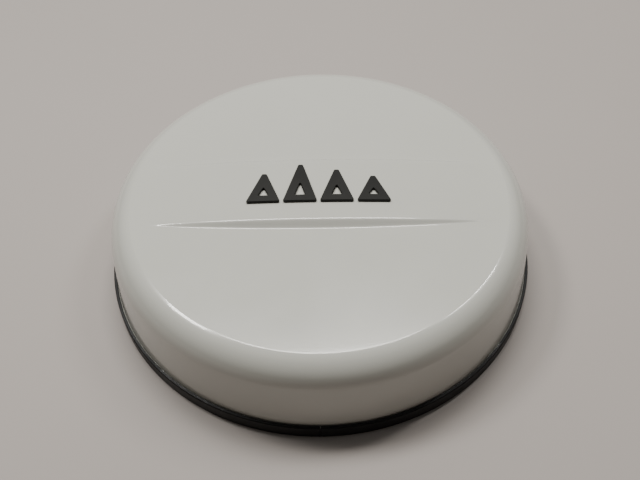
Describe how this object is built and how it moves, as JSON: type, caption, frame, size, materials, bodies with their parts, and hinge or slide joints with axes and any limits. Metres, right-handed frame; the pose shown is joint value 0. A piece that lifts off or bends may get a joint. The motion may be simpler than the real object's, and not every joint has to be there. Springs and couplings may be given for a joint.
{
  "type": "spare tire cover",
  "caption": "Glossy hard-shell spare tire cover with a raised band and a mountain-peak emblem, gripped by a hinged two-piece rear ring with a key lock",
  "frame": {"origin": "centre of the rear ring's opening, in the plane of the ring's back", "axes": "+Z out of the face, +Y to the top of the cover as it hangs on a vehicle, +X to the right as seen from in front with +Y up"},
  "size_m": [0.776, 0.792, 0.1776],
  "materials": {
    "shell_white": "high gloss moulded ABS, warm light grey-white",
    "ring_black": "fine-grained black polypropylene",
    "emblem_black": "satin black moulded ABS",
    "seal_rubber": "black EPDM",
    "foam": "charcoal closed-cell foam",
    "anchor_black": "black powder-coated zinc casting",
    "steel": "bright zinc-plated steel",
    "lock_zinc": "nickel-plated zinc",
    "bush_nylon": "natural nylon"
  },
  "bodies": {
    "shell": {"face_shell": "shell_white", "rim_seal": "seal_rubber", "emblem_peak_1": "emblem_black", "emblem_peak_2": "emblem_black", "emblem_peak_3": "emblem_black", "emblem_peak_4": "emblem_black", "emblem_gaskets": "seal_rubber", "emblem_push_nuts": "steel", "tread_pads": "foam", "sidewall_pads": "foam", "hinge_anchor": "anchor_black", "hinge_pins": "steel", "anchor_screws": "steel", "anchor_nuts": "steel"},
    "ring_left": {"ring_left": "ring_black", "ring_left_bead": "seal_rubber", "hinge_bush_left": "bush_nylon", "keeper_post": "steel", "keeper_screws": "steel"},
    "ring_right": {"ring_right": "ring_black", "ring_right_bead": "seal_rubber", "hinge_bush_right": "bush_nylon", "lock_housing": "lock_zinc", "lock_ring_nut": "steel", "cover_rivet": "steel"},
    "lock": {"lock_barrel": "lock_zinc", "lock_cam": "steel", "lock_cam_nut": "steel"},
    "key_cover": {"key_cover": "ring_black"}
  },
  "joints": [
    {"name": "ring_left_hinge", "type": "hinge", "parent": "shell", "child": "ring_left", "pos_m": [-0.017, 0.397, 0.0158], "axis": [0, 0, -1], "range_deg": [0, 35]},
    {"name": "ring_right_hinge", "type": "hinge", "parent": "shell", "child": "ring_right", "pos_m": [0.017, 0.397, 0.0158], "axis": [0, 0, 1], "range_deg": [0, 35]},
    {"name": "lock_turn", "type": "hinge", "parent": "ring_right", "child": "lock", "pos_m": [0.018, -0.361, 0.006], "axis": [0, 0, 1], "range_deg": [0, 90]},
    {"name": "key_cover_swing", "type": "hinge", "parent": "ring_right", "child": "key_cover", "pos_m": [0.036, -0.361, 0.0015], "axis": [0, 0, -1], "range_deg": [0, 100]}
  ]
}
